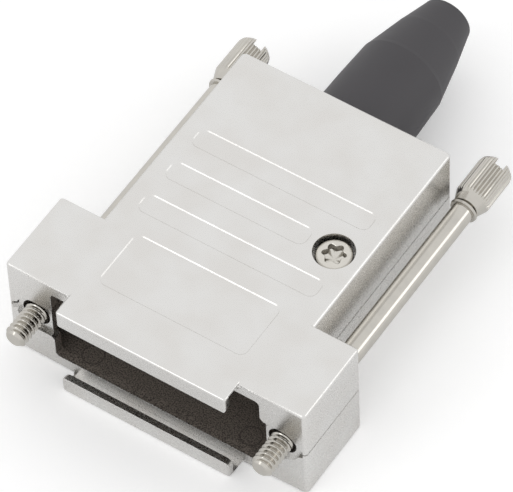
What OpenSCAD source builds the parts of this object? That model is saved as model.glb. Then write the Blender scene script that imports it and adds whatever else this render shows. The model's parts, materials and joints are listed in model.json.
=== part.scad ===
// Metal D-sub hood for a 15-way connector: two die-cast half shells, two long
// knurled jackscrews, a rubber bend relief and the clamp that holds the cable.
// Millimetres, +Z up. +Y runs along the cable, away from the connector.

/* [Shells] */
// Metal outside each jackscrew axis, at the ends of the front flange
flange_side = 3.44; // [3.3:0.02:3.7]
// Depth of the front flange, front to back
flange_d = 11.2; // [10.6:0.1:12]
// Gap between each jackscrew head and the cable body
head_gap = 0.26; // [0.2:0.02:0.36]
// Length of the shells, flange front to rear face
shell_len = 39.8; // [39.4:0.1:40.6]
// Height of the closed hood
hood_h = 15; // [14.6:0.1:16]
// Side walls of the cable body
wall = 1.5; // [1.3:0.1:1.6]
// Roof of the top shell and floor of the bottom shell
roof = 1.6; // [1.4:0.1:1.8]
// Thickness of the rear walls
rear_wall = 1.7; // [1.5:0.1:1.9]
// Thickness of the front wall round the connector opening
front_wall = 1.2; // [1.1:0.1:1.4]
// Side walls of the flange
flange_wall = 0.9; // [0.8:0.05:0.95]
// Rounding of the long outer edges
edge_r = 1.0; // [0.7:0.1:1.1]
// Rounding of the upright corners of the flange
flange_r = 1.0; // [0.7:0.1:1.2]
// Rounding of the upright corners at the cable end
corner_r = 1.3; // [1.2:0.1:1.6]
// Groove left round the outside where the shells meet
seam_gap = 0.24; // [0.16:0.02:0.3]
// Depth of that groove
seam_depth = 0.14; // [0.1:0.02:0.2]

/* [Connector opening] */
// From each jackscrew axis to the side of the connector opening
open_side = 2.61; // [2.55:0.01:2.85]
// Height of that opening
open_h = 11.6; // [11.2:0.1:11.8]
// Width of the lips that wrap the connector flange
lip_w = 22.8; // [22:0.1:24]
// How far the lips stand in front of the flange
lip_out = 2.7; // [2.5:0.1:3]
// Height of each lip
lip_h = 2.5; // [2.3:0.1:2.7]
// Thickness of the part of each lip in front of the slot
lip_t = 0.82; // [0.7:0.02:0.9]
// Metal left behind the slot for the connector flange
slot_floor = 0.55; // [0.5:0.05:0.7]
// Rounding of the free lip corners
lip_r = 0.85; // [0.6:0.05:1]
// How much wider the opening is beside the jackscrew holes
notch_w = 0.45; // [0.3:0.05:0.5]
// Depth of the pocket round each jackscrew hole
pocket_d = 0.5; // [0.4:0.05:0.7]
// Radius of that pocket
pocket_r = 2.5; // [2.4:0.05:2.6]

/* [Jackscrews] */
// Distance between the two jackscrews
jack_pitch = 33.32; // [33.2:0.02:33.4]
// Thread outside diameter, 4-40 UNC
thread_d = 2.84; // [2.7:0.02:2.9]
// Length of the threaded end
thread_l = 4.7; // [4.4:0.1:4.8]
// How far the thread stands out of the flange front
thread_out = 4.1; // [3.8:0.1:4.4]
// Plain shank diameter
shank_d = 2.76; // [2.6:0.02:2.8]
// How far the head reaches forward past the rear of the shells
head_back = 1.6; // [1.2:0.1:1.8]
// Diameter of the knurled head
head_d = 4.4; // [4.2:0.05:4.5]
// Length of the smooth cone in front of the knurl, with its collar
cone_l = 1.9; // [1.7:0.1:2.2]
// Length of the knurled part of the head
knurl_l = 4.85; // [4.5:0.05:5.4]
// Number of knurl ridges
knurl_n = 32; // [24:2:40]
// Depth of the knurl
knurl_t = 0.17; // [0.1:0.01:0.2]
// Width of the screwdriver slot
jack_slot_w = 1.2; // [1:0.05:1.3]
// Depth of the screwdriver slot
jack_slot_d = 1.2; // [1:0.05:1.4]
// Angle of the slot, seen along the screw
jack_slot_a = 24; // [0:1:90]
// Play between a jackscrew and its holes, on the radius
jack_play = 0.43; // [0.38:0.01:0.46]
// Thickness of the retaining rings
ring_t = 0.6; // [0.5:0.05:0.7]
// Outside diameter of the retaining rings
ring_d = 4.4; // [4.2:0.1:4.5]
// Where the retaining rings sit, from the flange front
ring_y = 5; // [4.8:0.1:5.4]

/* [Assembly screws] */
// From each screw axis to the side of the cable body
screw_side = 3.8; // [3.7:0.1:4.1]
// Where the screws are, from the flange front
screw_y = 21; // [20.6:0.1:21.4]
// Thread diameter
screw_d = 2.5; // [2.4:0.02:2.6]
// Head diameter
screw_head_d = 4.2; // [3.9:0.1:4.3]
// Head height
screw_head_h = 1.9; // [1.7:0.1:2.1]
// Diameter of the counterbore for the head
bore_d = 5; // [4.9:0.1:5.2]
// Depth of the counterbore
bore_depth = 2.9; // [2.7:0.1:3.1]
// Length of the screw under its head
screw_l = 9; // [8.6:0.1:9.4]
// Depth of the six-lobe recess in the head
recess_d = 1.2; // [1:0.05:1.3]

/* [Grip grooves and label field] */
// From the ends of the long grooves to the sides of the cable body
groove_side = 2.3; // [2.1:0.1:2.7]
// Size of each groove along the cable
groove_w = 2.5; // [2.2:0.1:2.8]
// Depth of the grooves
groove_t = 0.45; // [0.3:0.05:0.5]
// Distance from groove to groove
groove_pitch = 5.5; // [5.3:0.1:5.7]
// From the end of the short groove to the screw axis
groove_stop = 3.5; // [3.3:0.1:4]
// Width of the label field
label_w = 19.5; // [18:0.1:20.5]
// Size of the label field along the cable
label_l = 7.8; // [7:0.1:8]
// Where the label field is centred, from the flange front
label_y = 7.35; // [7.2:0.05:7.5]

/* [Bend relief] */
// Diameter where it leaves the shells
boot_d = 11.9; // [11.5:0.1:12.2]
// Diameter at the shoulder
boot_shoulder_d = 11.2; // [10.8:0.1:11.4]
// Diameter half way down the taper
boot_mid_d = 8.4; // [8:0.1:8.8]
// Diameter at the cable end
boot_tip_d = 6.4; // [6:0.1:6.8]
// Length of the straight part behind the shells
boot_straight = 12; // [11.5:0.1:12.5]
// Length of the shoulder behind it
boot_step = 5.6; // [5.2:0.1:6]
// Length of the whole relief outside the shells
boot_l = 21.9; // [21:0.1:24]
// Cable hole diameter
cable_d = 4.6; // [4:0.1:4.8]
// Neck diameter in the rear wall
neck_d = 9.2; // [8.8:0.1:9.6]
// Diameter of the collar inside the shells
collar_d = 11; // [10.6:0.1:11.4]
// Length of that collar
collar_l = 1.9; // [1.6:0.1:2.2]

/* [Cable clamp] */
// Distance between the clamp screws
clamp_pitch = 14; // [13.6:0.1:14.6]
// From the middle of the clamp to the rear of the shells
clamp_back = 8.4; // [8.2:0.1:8.8]
// Size of the clamp strap along the cable
clamp_w = 4.6; // [4.2:0.1:4.8]
// Strap thickness
clamp_t = 1; // [0.8:0.1:1.1]
// Gap left for the cable
clamp_gap = 5.6; // [5.2:0.1:6]
// Clamp screw diameter
clamp_screw_d = 2; // [1.9:0.05:2.1]
// Clamp screw length under its head
clamp_screw_l = 4.6; // [4.2:0.1:4.8]
// Clamp screw head diameter
clamp_head_d = 4; // [3.8:0.1:4.2]
// Clamp screw head height
clamp_head_h = 1.4; // [1.2:0.1:1.6]
// Width of the cross recess
cross_w = 0.6; // [0.5:0.05:0.7]

/* [Hidden] */
$fn = 48;
eps = 0.01;
mid_z = hood_h / 2;
jack_x = jack_pitch / 2;
jack_tip = -thread_out;
thread_end = jack_tip + thread_l;
// widths that follow from the jackscrew spacing
flange_w = jack_pitch + 2 * flange_side;
body_w = jack_pitch - head_d - 2 * head_gap;
open_w = jack_pitch - 2 * open_side;
in_w = body_w / 2 - wall;
groove_l = body_w - 2 * groove_side;
screw_x = body_w / 2 - screw_side;
groove_short = screw_x - groove_stop;
// places along the hood, from the flange front
groove_y = screw_y;
head_y = shell_len - head_back;
knurl_y = head_y + cone_l;
jack_end = knurl_y + knurl_l + 1;
boot_back = shell_len - rear_wall;
boot_shoulder = shell_len + boot_straight;
boot_mid = boot_shoulder + boot_step;
boot_end = shell_len + boot_l;
clamp_y = shell_len - clamp_back;
flange_rear = 1.4;
// play, roundings and seats
hole_r = max(thread_d, shank_d) / 2 + jack_play;
lug_play = 0.06;
lug_r = pocket_r - 0.05;
lug_t = 2.6 - pocket_d;
relief_r = 1.1;
relief_l = 0.8;
ring_seat = 0.3;
ring_play = 0.05;
room_r = 1.2;
groove_r = 0.9;
lip_root_r = 0.5;
boss_t = 0.9;
seat_top = hood_h - bore_depth;
seat_d = 4.6;
strap_z = mid_z - 0.9;
thread_play = 0.03;
// the parts' frame: middle of the underside of the whole piece
y_mid = (boot_end + jack_tip) / 2;
zinc = [0.80, 0.80, 0.79];
steel = [0.72, 0.71, 0.68];
rubber = [0.10, 0.10, 0.10];

// ---- helpers ----

module at_origin() {
  translate([0, -y_mid, 0]) children();
}

// lays a revolved profile (radius, length) along +Y
module along_y(x, z) {
  translate([x, 0, z]) rotate([-90, 0, 0]) children();
}

module flip_half() {
  translate([0, 0, hood_h]) rotate([0, 180, 0]) children();
}

module round_rect(x0, x1, y0, y1, r) {
  translate([x0 + r, y0]) square([x1 - x0 - 2 * r, y1 - y0]);
  translate([x0, y0 + r]) square([x1 - x0, y1 - y0 - 2 * r]);
  for (x = [x0 + r, x1 - r], y = [y0 + r, y1 - r])
    translate([x, y]) circle(r = r);
}

module slab(x0, x1, y0, y1, z0, z1, r) {
  translate([0, 0, z0]) linear_extrude(z1 - z0) round_rect(x0, x1, y0, y1, r);
}

// block with upright corners rounded by rv and its top edges by re
module crowned(x0, x1, y0, y1, z0, z1, rv, re) {
  slab(x0, x1, y0, y1, z0, z1 - re, rv);
  translate([0, 0, z0]) linear_extrude(z1 - z0) {
    translate([x0 + rv, y0 + re]) square([x1 - x0 - 2 * rv, y1 - y0 - 2 * re]);
    translate([x0 + re, y0 + rv]) square([x1 - x0 - 2 * re, y1 - y0 - 2 * rv]);
  }
  for (x = [x0 + re, x1 - re])
    translate([x, y0 + rv, z1 - re]) rotate([-90, 0, 0])
      cylinder(r = re, h = y1 - y0 - 2 * rv);
  for (y = [y0 + re, y1 - re])
    translate([x0 + rv, y, z1 - re]) rotate([0, 90, 0])
      cylinder(r = re, h = x1 - x0 - 2 * rv);
  for (x = [x0 + rv, x1 - rv], y = [y0 + rv, y1 - rv])
    translate([x, y, z0]) crowned_corner(z1 - z0, rv, re);
}

module crowned_corner(h, rv, re) {
  rotate_extrude() intersection() {
    union() {
      square([rv, h - re]);
      square([max(rv - re, eps), h]);
      translate([rv - re, h - re]) circle(r = re);
    }
    square([rv + 1, h + 1]);
  }
}

// ---- shells ----

// outside of one half, standing on the parting plane and closed at the top
module half_outside() {
  s = seam_depth;
  g = mid_z + seam_gap / 2;
  crowned(-flange_w / 2, flange_w / 2, 0, flange_d, g, hood_h, flange_r, edge_r);
  slab(-flange_w / 2 + s, flange_w / 2 - s, s, flange_d - s, mid_z, g + eps, flange_r);
  crowned(-body_w / 2, body_w / 2, 3, shell_len, g, hood_h, corner_r, edge_r);
  slab(-body_w / 2 + s, body_w / 2 - s, 3, shell_len - s, mid_z, g + eps, corner_r);
  half_lip();
}

// lip over the connector flange, with the slot behind it
module half_lip() {
  difference() {
    intersection() {
      crowned(-lip_w / 2, lip_w / 2, -lip_out, flange_d - 2, mid_z, hood_h, 0.7, 0.7);
      translate([0, flange_d, 0]) rotate([90, 0, 0]) linear_extrude(flange_d + lip_out)
        round_rect(-lip_w / 2, lip_w / 2, hood_h - lip_h, hood_h + 3, lip_r);
    }
    translate([-lip_w / 2 - 1, lip_t - lip_out, 0])
      cube([lip_w + 2, lip_out - lip_t, hood_h - slot_floor]);
    translate([-lip_w / 2 - 1, -eps, 0])
      cube([lip_w + 2, flange_d, hood_h - 3]);
  }
  // concave roots where the slot floor runs into the flange
  q = lip_root_r;
  for (m = [0, 1]) mirror([m, 0, 0])
    translate([lip_w / 2 - eps, -q, hood_h - slot_floor]) difference() {
      cube([q, 3 * q, slot_floor / 2]);
      translate([q, 0, -1]) cylinder(r = q, h = 3);
    }
}

module half_inside() {
  o = open_w / 2;
  h = open_h / 2;
  n = pocket_r;
  // room in the flange, behind the front wall
  slab(-flange_w / 2 + flange_wall, flange_w / 2 - flange_wall, front_wall,
    flange_d - flange_rear, mid_z - 1, hood_h - roof, room_r - 0.4);
  // room in the cable body
  slab(-in_w, in_w, front_wall, boot_back, mid_z - 1, hood_h - roof, room_r);
  // connector opening, rounded at its two far corners, wider beside the holes
  translate([0, front_wall + 1, 0]) rotate([90, 0, 0]) linear_extrude(front_wall + 2) {
    round_rect(-o, o, mid_z - h, mid_z + h, room_r / 2);
    for (m = [0, 1]) mirror([m, 0]) translate([o, mid_z]) polygon([
      [-1, n + notch_w], [0, n + notch_w], [notch_w, n],
      [notch_w, -n], [0, -n - notch_w], [-1, -n - notch_w]
    ]);
  }
}

module half_holes() {
  // counterbore and hole for the screw of this side
  translate([screw_x, screw_y, seat_top]) cylinder(d = bore_d, h = bore_depth + 1);
  translate([screw_x, screw_y, mid_z - 1]) cylinder(d = screw_d + 0.4, h = hood_h);
  // thread of the other screw
  translate([-screw_x, screw_y, mid_z - 1])
    cylinder(r = screw_d / 2 + thread_play, h = screw_l - (seat_top - mid_z) + 1.5);
  // neck of the bend relief
  along_y(0, mid_z) translate([0, 0, boot_back - 1])
    cylinder(d = neck_d + 0.1, h = rear_wall + 2);
  // jackscrews through the back of the flange
  for (x = [-jack_x, jack_x])
    along_y(x, mid_z) translate([0, 0, flange_d - 3]) cylinder(r = hole_r, h = 4);
}

module half_bosses() {
  t = boss_t;
  h = mid_z - roof + 0.4;
  translate([screw_x, screw_y, mid_z]) cylinder(r = bore_d / 2 + t, h = h);
  translate([screw_x, screw_y - t, mid_z]) cube([in_w - screw_x + 0.4, 2 * t, h]);
  translate([-screw_x, screw_y, mid_z]) cylinder(r = screw_d / 2 + 1.4 * t, h = h);
  translate([-in_w - 0.4, screw_y - t, mid_z]) cube([in_w - screw_x + 0.4, 2 * t, h]);
}

// U-shaped pocket round a jackscrew, open to the connector opening
module pocket_outline(r) {
  circle(r = r);
  translate([-jack_x + open_w / 2 - 1, -r]) square([jack_x - open_w / 2 + 1, 2 * r]);
}

module pockets(depth, r) {
  for (m = [0, 1]) mirror([m, 0, 0])
    translate([jack_x, depth, mid_z]) rotate([90, 0, 0])
      linear_extrude(depth + 1) pocket_outline(r);
}

module grooves(full) {
  t = hood_h - groove_t;
  g = groove_l / 2;
  for (k = [-1, 1]) {
    y = groove_y + k * groove_pitch;
    slab(-g, g, y - groove_w / 2, y + groove_w / 2, t, hood_h + 1, groove_r);
  }
  slab(-g, groove_short, groove_y - groove_w / 2, groove_y + groove_w / 2,
    t, hood_h + 1, groove_r);
  if (full)
    slab(-label_w / 2, label_w / 2, label_y - label_l / 2, label_y + label_l / 2,
      t, hood_h + 1, groove_r);
}

module half_shell(full) {
  difference() {
    union() {
      difference() {
        half_outside();
        half_inside();
      }
      half_bosses();
    }
    half_holes();
    grooves(full);
    pockets(pocket_d, pocket_r);
  }
}

module top_shell() {
  at_origin() color(zinc) difference() {
    half_shell(true);
    // cut back for the lugs of the bottom shell
    for (x = [-jack_x, jack_x])
      along_y(x, mid_z) translate([0, 0, -1]) cylinder(r = lug_r + lug_play, h = 4);
  }
}

// round lugs that carry the front holes, flat where they meet the opening
module lugs() {
  for (m = [0, 1]) mirror([m, 0, 0])
    difference() {
      along_y(jack_x, mid_z) translate([0, 0, pocket_d]) cylinder(r = lug_r, h = lug_t);
      along_y(jack_x, mid_z) translate([0, 0, -1]) cylinder(r = hole_r, h = 5);
      translate([0, -1, 0]) cube([open_w / 2 + notch_w, flange_d, hood_h]);
    }
}

module clamp_seat() {
  for (x = [-clamp_pitch / 2, clamp_pitch / 2])
    translate([x, clamp_y, roof - 0.4]) cylinder(d = seat_d, h = strap_z - roof + 0.4);
  difference() {
    translate([-clamp_pitch / 2, clamp_y - boss_t, roof - 0.4])
      cube([clamp_pitch, 2 * boss_t, strap_z - roof - 0.2]);
    along_y(0, mid_z) cylinder(d = clamp_gap, h = shell_len);
  }
}

module bottom_shell() {
  at_origin() color(zinc) {
    difference() {
      union() {
        difference() {
          flip_half() half_shell(false);
          for (x = [-jack_x, jack_x])
            along_y(x, mid_z) translate([0, 0, -1]) cylinder(r = hole_r, h = 4);
        }
        lugs();
        clamp_seat();
      }
      for (x = [-clamp_pitch / 2, clamp_pitch / 2])
        translate([x, clamp_y, strap_z + clamp_t - clamp_screw_l - 0.4])
          cylinder(r = clamp_screw_d / 2 + thread_play, h = hood_h);
    }
  }
}

// ---- jackscrews ----

module knurl_outline() {
  r = head_d / 2;
  polygon([for (i = [0 : 2 * knurl_n - 1])
    let (q = i % 2 == 0 ? r : r - knurl_t, a = i * 180 / knurl_n)
      [q * cos(a), q * sin(a)]]);
}

// half section (radius, length) of tip, thread, relief, shank, collar and cone
module jack_section() {
  t = thread_d / 2;
  s = shank_d / 2;
  g = s - ring_seat;
  r = head_d / 2;
  polygon([
    [0, jack_tip], [t - 0.45, jack_tip], [t, jack_tip + 0.4],
    [t, thread_end], [relief_r, thread_end + 0.2],
    [relief_r, thread_end + relief_l], [s, thread_end + relief_l + 0.2],
    [s, ring_y - 0.02], [g, ring_y - 0.02],
    [g, ring_y + ring_t + 0.02], [s, ring_y + ring_t + 0.02],
    [s, head_y], [r - 0.5, head_y], [r - 0.42, head_y + 0.3],
    [relief_r, head_y + 0.36], [relief_r, head_y + 0.58],
    [r - 0.6, head_y + 0.64], [r - 0.12, knurl_y + 0.1], [0, knurl_y + 0.1]
  ]);
}

// half section of the head, turned down at both ends of the knurl
module head_section() {
  r = head_d / 2;
  polygon([
    [0, knurl_y], [r - 0.14, knurl_y], [r + 0.02, knurl_y + 0.16],
    [r + 0.02, jack_end - 0.95], [r - 0.12, jack_end - 0.5],
    [r - 0.6, jack_end], [0, jack_end]
  ]);
}

module jackscrew() {
  difference() {
    union() {
      rotate_extrude() jack_section();
      intersection() {
        translate([0, 0, knurl_y]) linear_extrude(knurl_l + 1) knurl_outline();
        rotate_extrude() head_section();
      }
    }
    rotate([0, 0, jack_slot_a])
      translate([-jack_slot_w / 2, -head_d, jack_end - jack_slot_d])
        cube([jack_slot_w, 2 * head_d, 2 * jack_slot_d]);
  }
}

module jackscrew_left() {
  at_origin() color(steel) along_y(-jack_x, mid_z) jackscrew();
}

module jackscrew_right() {
  at_origin() color(steel) along_y(jack_x, mid_z) jackscrew();
}

// open spring ring that snaps into the groove of a jackscrew
module retaining_ring(x) {
  ri = shank_d / 2 - ring_seat + ring_play;
  at_origin() color(steel) along_y(x, mid_z) translate([0, 0, ring_y])
    linear_extrude(ring_t) difference() {
      circle(d = ring_d);
      circle(r = ri);
      translate([-ri * 0.8, 0]) square([ri * 1.6, ring_d]);
      for (m = [0, 1]) mirror([m, 0])
        translate([(ri + ring_d / 2) / 2, -ri / 2]) circle(r = ring_t / 2);
    }
}

module retaining_ring_left() {
  retaining_ring(-jack_x);
}

module retaining_ring_right() {
  retaining_ring(jack_x);
}

// ---- assembly screws ----

module lobes(r) {
  circle(r = r * 0.76);
  for (i = [0 : 5]) rotate(i * 60) translate([r * 0.74, 0]) circle(r = r * 0.26);
}

// screw standing on z = 0 under its head, shank downwards
module hood_screw() {
  difference() {
    rotate_extrude() polygon([
      [0, -screw_l], [screw_d / 2 - 0.35, -screw_l], [screw_d / 2, -screw_l + 0.5],
      [screw_d / 2, 0], [screw_head_d / 2, 0], [screw_head_d / 2, screw_head_h - 0.55],
      [screw_head_d / 2 - 0.14, screw_head_h - 0.22],
      [screw_head_d / 2 - 0.5, screw_head_h], [0, screw_head_h]
    ]);
    translate([0, 0, screw_head_h - recess_d]) linear_extrude(3) lobes(1.36);
  }
}

module assembly_screw_right() {
  at_origin() color(steel) translate([screw_x, screw_y, seat_top]) hood_screw();
}

module assembly_screw_left() {
  at_origin() color(steel) flip_half() translate([screw_x, screw_y, seat_top]) hood_screw();
}

// ---- cable clamp ----

module cable_clamp() {
  r = clamp_gap / 2;
  p = clamp_pitch / 2;
  at_origin() color(steel) translate([0, clamp_y + clamp_w / 2, 0]) rotate([90, 0, 0])
    difference() {
      linear_extrude(clamp_w) difference() {
        union() {
          translate([-p - seat_d / 2 - 0.3, strap_z])
            square([2 * p + seat_d + 0.6, clamp_t]);
          translate([0, mid_z]) circle(r = r + clamp_t);
        }
        translate([0, mid_z]) circle(r = r);
        translate([-r, 0]) square([2 * r, mid_z]);
        translate([-body_w / 2, 0]) square([body_w, strap_z]);
      }
      for (x = [-p, p])
        translate([x, 0, clamp_w / 2]) rotate([-90, 0, 0])
          cylinder(r = clamp_screw_d / 2 + 0.15, h = hood_h);
    }
}

module clamp_screw(x) {
  r = clamp_screw_d / 2;
  h = clamp_head_h;
  at_origin() color(steel) translate([x, clamp_y, strap_z + clamp_t]) difference() {
    rotate_extrude() polygon([
      [0, -clamp_screw_l], [r - 0.3, -clamp_screw_l], [r, 0.4 - clamp_screw_l],
      [r, 0], [clamp_head_d / 2, 0], [clamp_head_d / 2, h * 0.57],
      [clamp_head_d / 2 - 0.5, h], [0, h]
    ]);
    for (a = [0, 90]) translate([0, 0, h * 0.7]) rotate([0, 0, a])
      cube([cross_w, 2 * clamp_head_d, h], center = true);
  }
}

module clamp_screw_left() {
  clamp_screw(-clamp_pitch / 2);
}

module clamp_screw_right() {
  clamp_screw(clamp_pitch / 2);
}

// ---- bend relief ----

module bend_relief() {
  c = cable_d / 2;
  collar_y = boot_back - collar_l;
  at_origin() color(rubber) along_y(0, mid_z) rotate_extrude() difference() {
    union() {
      polygon([
        [c, collar_y], [collar_d / 2 - 0.3, collar_y],
        [collar_d / 2, collar_y + 0.3], [collar_d / 2, boot_back],
        [neck_d / 2, boot_back], [neck_d / 2, shell_len],
        [boot_d / 2 - 0.15, shell_len], [boot_d / 2, shell_len + 0.3],
        [boot_d / 2 - 0.12, shell_len + boot_straight / 2],
        [boot_shoulder_d / 2, boot_shoulder - 0.5],
        [boot_shoulder_d / 2 - 0.14, boot_shoulder],
        [boot_mid_d / 2 + 0.12, boot_mid - 0.4], [boot_mid_d / 2, boot_mid],
        [boot_tip_d / 2, boot_end - 0.5], [boot_tip_d / 2 - 0.5, boot_end - 0.5],
        [boot_tip_d / 2 - 0.5, boot_end], [c, boot_end]
      ]);
      translate([boot_tip_d / 2 - 0.5, boot_end - 0.5]) circle(r = 0.5);
    }
    square([c, boot_end + 1]);
  }
}

top_shell();
bottom_shell();
jackscrew_left();
jackscrew_right();
retaining_ring_left();
retaining_ring_right();
assembly_screw_right();
assembly_screw_left();
cable_clamp();
clamp_screw_left();
clamp_screw_right();
bend_relief();
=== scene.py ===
"""Looks of a die-cast connector hood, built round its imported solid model.

The hood is two nickel-plated zinc half shells held by two screws. Two long
knurled jackscrews run beside it, and a rubber bend relief closes its rear.
Lengths are written in millimetres and turned to metres where a mesh is made.
"""

import json
import logging
import math
from dataclasses import dataclass, field
from enum import Enum
from typing import Callable, Optional, Sequence, Union

import bmesh
import bpy
from mathutils import Matrix, Vector

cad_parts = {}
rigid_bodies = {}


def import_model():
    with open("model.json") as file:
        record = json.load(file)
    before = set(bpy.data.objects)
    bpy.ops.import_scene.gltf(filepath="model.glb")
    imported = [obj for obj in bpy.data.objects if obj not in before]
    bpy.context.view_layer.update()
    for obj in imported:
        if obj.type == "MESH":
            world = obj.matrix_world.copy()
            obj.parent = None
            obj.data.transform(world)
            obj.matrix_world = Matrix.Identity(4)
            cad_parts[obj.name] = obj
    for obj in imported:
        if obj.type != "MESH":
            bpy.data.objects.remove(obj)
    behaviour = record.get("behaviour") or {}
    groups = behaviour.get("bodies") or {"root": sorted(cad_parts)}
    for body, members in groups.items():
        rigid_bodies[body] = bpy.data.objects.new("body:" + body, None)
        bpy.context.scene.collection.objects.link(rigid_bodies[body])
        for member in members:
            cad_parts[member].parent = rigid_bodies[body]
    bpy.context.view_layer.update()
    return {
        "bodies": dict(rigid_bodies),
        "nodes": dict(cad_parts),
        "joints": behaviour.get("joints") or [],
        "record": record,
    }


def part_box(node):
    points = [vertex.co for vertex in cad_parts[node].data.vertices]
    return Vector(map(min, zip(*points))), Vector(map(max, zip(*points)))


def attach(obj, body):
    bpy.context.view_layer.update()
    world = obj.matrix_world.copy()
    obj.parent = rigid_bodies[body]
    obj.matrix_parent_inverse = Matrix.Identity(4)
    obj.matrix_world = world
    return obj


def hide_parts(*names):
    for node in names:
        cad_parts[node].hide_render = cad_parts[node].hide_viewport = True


LOG = logging.getLogger("hood")
MM = 0.001
# depth below a face that a block doesn't have
FAR = 1000.0
# a normal with more than this along one axis belongs to a flat face
FLAT = 0.9995
# samples of the shading that rounds the edges
EDGE_SAMPLES = 6
# radians per unit of the wave texture at scale 1
WAVE_RADIANS = 20
# range that holds most values of a noise
COMMON = (0.3, 0.7)

Tree = bpy.types.NodeTree
Socket = bpy.types.NodeSocket
Material = bpy.types.Material
Object = bpy.types.Object
Value = Union[float, Sequence[float], Socket]
Pair = tuple[float, float]
Triple = tuple[float, float, float]
Profile = tuple[Pair, ...]
Key = tuple[float, ...]
Loop = list[Vector]


class Side(Enum):
    """Which of the two jackscrews, seen from the connector with the label up."""

    LEFT = "left"
    RIGHT = "right"

    @property
    def body(self) -> str:
        """Body of the frame that carries this side's jackscrew."""
        return f"{self.value}_screw"

    @property
    def node(self) -> str:
        """Frame node of this side's jackscrew."""
        return f"jackscrew_{self.value}"


# ---- colour and nodes ----


def linear(hex_colour: str) -> tuple[float, ...]:
    """Turns an sRGB hex colour to the linear values that shaders take.

    Args:
        hex_colour: Colour as "#rrggbb".

    Returns:
        Linear red, green, blue and an alpha of 1.
    """
    parts = [int(hex_colour[i : i + 2], 16) / 255 for i in (1, 3, 5)]
    # the curve of the sRGB standard
    red, green, blue = (
        c / 12.92 if c <= 0.04045 else ((c + 0.055) / 1.055) ** 2.4 for c in parts
    )
    return red, green, blue, 1.0


def add_node(
    tree: Tree,
    kind: str,
    settings: Optional[dict[str, object]] = None,
    inputs: Optional[dict[object, Value]] = None,
) -> bpy.types.Node:
    """Adds a node with its settings, socket values and links.

    Args:
        tree: Node tree that takes the node.
        kind: Blender's type name of the node.
        settings: Attributes of the node, by name.
        inputs: Values or output sockets for its inputs, by name or number.

    Returns:
        The new node.
    """
    node = tree.nodes.new(kind)
    for name, value in (settings or {}).items():
        setattr(node, name, value)
    for key, value in (inputs or {}).items():
        if isinstance(value, Socket):
            tree.links.new(value, node.inputs[key])
        else:
            node.inputs[key].default_value = value
    return node


def new_material(name: str) -> tuple[Material, Tree]:
    """Makes an empty material with nodes.

    Args:
        name: Plain name of the finish.

    Returns:
        The material and its emptied node tree.
    """
    material = bpy.data.materials.new(name)
    material.use_nodes = True
    material.node_tree.nodes.clear()
    return material, material.node_tree


def finish_surface(tree: Tree, shader: bpy.types.Node) -> None:
    """Links a shader to a new material output."""
    add_node(tree, "ShaderNodeOutputMaterial", None, {"Surface": shader.outputs[0]})


def object_point(tree: Tree) -> Socket:
    """Adds object coordinates, in metres, and returns their socket."""
    return add_node(tree, "ShaderNodeTexCoord").outputs["Object"]


def noise(tree: Tree, point: Socket, grain_mm: float, detail: float = 2.0) -> Socket:
    """Adds noise whose features are about grain_mm across.

    Args:
        tree: Node tree that takes the noise.
        point: Coordinates in metres.
        grain_mm: Size of one feature in millimetres.
        detail: Number of finer octaves.

    Returns:
        The noise value, from 0 to 1 around 0.5.
    """
    inputs = {"Vector": point, "Scale": 1 / (grain_mm * MM), "Detail": detail}
    return add_node(tree, "ShaderNodeTexNoise", None, inputs).outputs["Fac"]


def remap(tree: Tree, value: Socket, old: Pair, new: Pair = (0.0, 1.0)) -> Socket:
    """Maps a value from one range to another, held at both ends.

    Args:
        tree: Node tree that takes the node.
        value: Socket to map.
        old: Range of the value.
        new: Range of the result.

    Returns:
        The mapped value.
    """
    inputs = {0: value, 1: old[0], 2: old[1], 3: new[0], 4: new[1]}
    return add_node(tree, "ShaderNodeMapRange", {"clamp": True}, inputs).outputs[0]


def mix_colour(tree: Tree, share: Socket, first: Value, second: Value) -> Socket:
    """Mixes two colours.

    Args:
        tree: Node tree that takes the node.
        share: Share of the second colour, from 0 to 1.
        first: First colour, as a value or a socket.
        second: Second colour, as a value or a socket.

    Returns:
        The mixed colour.
    """
    # the node has sockets for each kind of data: 6, 7 and output 2 are colours
    inputs = {0: share, 6: first, 7: second}
    return add_node(tree, "ShaderNodeMix", {"data_type": "RGBA"}, inputs).outputs[2]


def math_node(tree: Tree, operation: str, first: Value, second: Value) -> Socket:
    """Adds one arithmetic step.

    Args:
        tree: Node tree that takes the node.
        operation: Blender's name of the operation.
        first: First value or socket.
        second: Second value or socket.

    Returns:
        The result's socket.
    """
    inputs = {0: first, 1: second}
    return add_node(tree, "ShaderNodeMath", {"operation": operation}, inputs).outputs[0]


def axis_distance(tree: Tree, point: Socket, x: float, y: float) -> Socket:
    """Adds nodes that measure how far a point is from an upright axis.

    Args:
        tree: Node tree that takes the nodes.
        point: Coordinates in metres.
        x: Place of the axis in millimetres.
        y: Place of the axis in millimetres.

    Returns:
        The distance in metres.
    """
    kind = "ShaderNodeVectorMath"
    inputs = {0: point, 1: (1.0, 1.0, 0.0), 2: (-x * MM, -y * MM, 0.0)}
    flat = add_node(tree, kind, {"operation": "MULTIPLY_ADD"}, inputs).outputs[0]
    return add_node(tree, kind, {"operation": "LENGTH"}, {0: flat}).outputs["Value"]


def edge_normal(tree: Tree, radius_mm: float) -> Socket:
    """Adds a normal that shades sharp edges as if they had a radius.

    Args:
        tree: Node tree that takes the node.
        radius_mm: The radius in millimetres.

    Returns:
        The normal.
    """
    samples = {"samples": EDGE_SAMPLES}
    made = add_node(tree, "ShaderNodeBevel", samples, {"Radius": radius_mm * MM})
    return made.outputs[0]


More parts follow.
